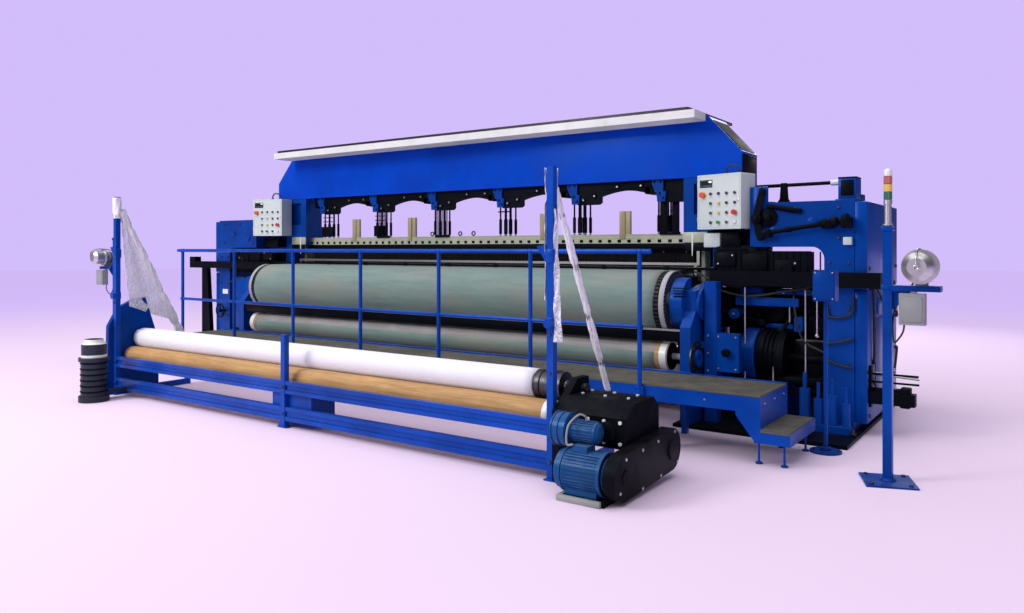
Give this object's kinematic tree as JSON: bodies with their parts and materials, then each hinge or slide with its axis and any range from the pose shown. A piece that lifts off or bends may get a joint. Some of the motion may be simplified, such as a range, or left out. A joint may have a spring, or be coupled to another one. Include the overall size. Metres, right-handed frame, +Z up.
{
  "type": "power loom",
  "caption": "Wide power loom with overhead heald gantry, take-up drum, operator walkway, control panels, weft feeder stands and a separate batching unit.",
  "frame": {"origin": "centre of the four foundation bolts, at floor level", "axes": "+X along the cloth width towards the drive end, +Y from the operator's side to the warp side, +Z up"},
  "size_m": [10.75, 5.7799, 3],
  "materials": {
    "gantry_blue": "gloss enamel",
    "frame_blue": "semi-gloss enamel",
    "rail_blue": "gloss enamel",
    "motor_teal": "hammered enamel",
    "machine_black": "oily satin enamel",
    "panel_grey": "textured powder coat",
    "plate_grey": "worn paint",
    "bright_steel": "turned",
    "drum_metal": "ground",
    "tread_plate": "worn checker plate",
    "cream_rail": "cream lacquer",
    "roof_dark": "matt",
    "lamp_white": "white enamel",
    "tube_glass": "opal",
    "roller_tan": "cork covering",
    "white_cloth": "wound cloth",
    "loom_cloth": "grey woven cloth",
    "warp_yarn": "wound yarn",
    "film_white": "wrapped film",
    "button_red": "gloss",
    "button_green": "gloss",
    "lamp_dark": "gloss",
    "beacon": "translucent"
  },
  "bodies": {
    "root": {"actuator_cylinders": "frame_blue", "batch_end_frame": "frame_blue", "batch_frame": "rail_blue", "batch_motors": "motor_teal", "belt_guard": "machine_black", "cloth_web": "loom_cloth", "control_panels": "panel_grey", "drive_covers": "frame_blue", "end_frames": "frame_blue", "feeder_bodies": "panel_grey", "feeder_stands": "frame_blue", "floor_plates": "machine_black", "gantry_beam": "gantry_blue", "gantry_columns": "frame_blue", "gearbox": "machine_black", "handrail": "rail_blue", "lamp_trough": "lamp_white", "lamp_tubes": "tube_glass", "lift_brackets": "frame_blue", "lift_rockers": "machine_black", "main_motor": "frame_blue", "pedestal": "frame_blue", "pilot_lamps": "lamp_dark", "post_struts": "film_white", "rapier_drives": "machine_black", "rapier_rails": "machine_black", "roof_cover": "roof_dark", "signal_lamps": "beacon", "take_off_motor": "machine_black", "tie_beams": "frame_blue", "walkway_frame": "rail_blue", "walkway_treads": "tread_plate", "warp_sheet": "warp_yarn"},
    "warp_beam": {"warp_beam": "bright_steel", "warp_yarn": "warp_yarn"},
    "takeup_drum": {"takeup_drum": "drum_metal"},
    "press_roller": {"press_roller": "bright_steel"},
    "back_rest": {"back_rest": "bright_steel"},
    "drive_wheel": {"drive_wheel": "machine_black"},
    "sley": {"sley": "machine_black", "reed": "bright_steel"},
    "heald_frame_1": {"heald_frame_1": "cream_rail"},
    "heald_frame_2": {"heald_frame_2": "cream_rail"},
    "heald_frame_3": {"heald_frame_3": "cream_rail"},
    "gripper_right": {"gripper_right": "bright_steel"},
    "gripper_left": {"gripper_left": "bright_steel"},
    "handwheel": {"handwheel": "machine_black"},
    "weft_drum_right": {"weft_drum_right": "bright_steel"},
    "weft_drum_left": {"weft_drum_left": "bright_steel"},
    "batch_roll": {"roll_core": "bright_steel", "batch_roll": "white_cloth"},
    "drive_roller_front": {"drive_roller_front": "roller_tan"},
    "drive_roller_back": {"drive_roller_back": "roller_tan"},
    "pull_rod": {"pull_rod": "bright_steel"},
    "stop_button_left": {"stop_button_left": "button_red"},
    "stop_button_right": {"stop_button_right": "button_red"},
    "start_button_left": {"start_button_left": "button_green"},
    "start_button_right": {"start_button_right": "button_green"},
    "emergency_stop_left": {"emergency_stop_left": "button_red"},
    "emergency_stop_right": {"emergency_stop_right": "button_red"}
  },
  "joints": [
    {"name": "warp_beam_turn", "type": "hinge", "parent": "root", "child": "warp_beam", "pos_m": [0, 1.55, 0.75], "axis": [1, 0, 0], "continuous": true},
    {"name": "takeup_drum_turn", "type": "hinge", "parent": "root", "child": "takeup_drum", "pos_m": [0, -0.95, 1.105], "axis": [1, 0, 0], "continuous": true},
    {"name": "press_roller_turn", "type": "hinge", "parent": "root", "child": "press_roller", "pos_m": [0, -1.1, 0.62], "axis": [1, 0, 0], "continuous": true},
    {"name": "back_rest_turn", "type": "hinge", "parent": "root", "child": "back_rest", "pos_m": [0, 1.15, 1.315], "axis": [1, 0, 0], "continuous": true},
    {"name": "drive_wheel_turn", "type": "hinge", "parent": "root", "child": "drive_wheel", "pos_m": [3.8, -0.5, 0.61], "axis": [1, 0, 0], "continuous": true},
    {"name": "sley_swing", "type": "hinge", "parent": "root", "child": "sley", "pos_m": [0, -0.42, 0.5], "axis": [1, 0, 0], "range_deg": [0, 12]},
    {"name": "heald_1_lift", "type": "slide", "parent": "root", "child": "heald_frame_1", "axis": [0, 0, 1], "range_m": [-0.04, 0.04]},
    {"name": "heald_2_lift", "type": "slide", "parent": "root", "child": "heald_frame_2", "axis": [0, 0, 1], "range_m": [-0.04, 0.04]},
    {"name": "heald_3_lift", "type": "slide", "parent": "root", "child": "heald_frame_3", "axis": [0, 0, 1], "range_m": [-0.04, 0.04]},
    {"name": "gripper_right_slide", "type": "slide", "parent": "sley", "child": "gripper_right", "axis": [-1, 0, 0], "range_m": [0, 2.83]},
    {"name": "gripper_left_slide", "type": "slide", "parent": "sley", "child": "gripper_left", "axis": [1, 0, 0], "range_m": [0, 2.83]},
    {"name": "handwheel_turn", "type": "hinge", "parent": "root", "child": "handwheel", "pos_m": [-4.4, -0.745, 0.69], "axis": [0, 1, 0], "continuous": true},
    {"name": "weft_drum_right_turn", "type": "hinge", "parent": "root", "child": "weft_drum_right", "pos_m": [5.255, -2.1, 1.5], "axis": [0, 1, 0], "continuous": true},
    {"name": "weft_drum_left_turn", "type": "hinge", "parent": "root", "child": "weft_drum_left", "pos_m": [-5.255, -2.1, 1.5], "axis": [0, 1, 0], "continuous": true},
    {"name": "batch_roll_turn", "type": "hinge", "parent": "root", "child": "batch_roll", "pos_m": [0, -3, 0.60725], "axis": [1, 0, 0], "continuous": true},
    {"name": "drive_roller_front_turn", "type": "hinge", "parent": "root", "child": "drive_roller_front", "pos_m": [0, -3.12, 0.42], "axis": [1, 0, 0], "continuous": true},
    {"name": "drive_roller_back_turn", "type": "hinge", "parent": "root", "child": "drive_roller_back", "pos_m": [0, -2.88, 0.42], "axis": [1, 0, 0], "continuous": true},
    {"name": "pull_rod_slide", "type": "slide", "parent": "root", "child": "pull_rod", "axis": [0, 0, -1], "range_m": [0, 0.02], "stiffness_N_per_m": 1500, "springref_m": -0.006},
    {"name": "stop_button_right_push", "type": "slide", "parent": "root", "child": "stop_button_right", "axis": [0.2588, 0.9659, 0], "range_m": [0, 0.006], "stiffness_N_per_m": 400, "springref_m": -0.002},
    {"name": "start_button_right_push", "type": "slide", "parent": "root", "child": "start_button_right", "axis": [0.2588, 0.9659, 0], "range_m": [0, 0.006], "stiffness_N_per_m": 400, "springref_m": -0.002},
    {"name": "emergency_stop_right_push", "type": "slide", "parent": "root", "child": "emergency_stop_right", "axis": [0.2588, 0.9659, 0], "range_m": [0, 0.006]},
    {"name": "stop_button_left_push", "type": "slide", "parent": "root", "child": "stop_button_left", "axis": [-0.2588, 0.9659, 0], "range_m": [0, 0.006], "stiffness_N_per_m": 400, "springref_m": -0.002},
    {"name": "start_button_left_push", "type": "slide", "parent": "root", "child": "start_button_left", "axis": [-0.2588, 0.9659, 0], "range_m": [0, 0.006], "stiffness_N_per_m": 400, "springref_m": -0.002},
    {"name": "emergency_stop_left_push", "type": "slide", "parent": "root", "child": "emergency_stop_left", "axis": [-0.2588, 0.9659, 0], "range_m": [0, 0.006]}
  ],
  "couplings": [
    {"joint": "takeup_drum_turn", "follows": "warp_beam_turn", "ratio": 1.2333},
    {"joint": "press_roller_turn", "follows": "warp_beam_turn", "ratio": -2.8906},
    {"joint": "back_rest_turn", "follows": "warp_beam_turn", "ratio": 4.1111},
    {"joint": "heald_2_lift", "follows": "heald_1_lift", "ratio": -1},
    {"joint": "heald_3_lift", "follows": "heald_1_lift", "ratio": 1},
    {"joint": "gripper_left_slide", "follows": "gripper_right_slide", "ratio": 1},
    {"joint": "drive_roller_front_turn", "follows": "batch_roll_turn", "ratio": -1.22},
    {"joint": "drive_roller_back_turn", "follows": "batch_roll_turn", "ratio": -1.22}
  ]
}
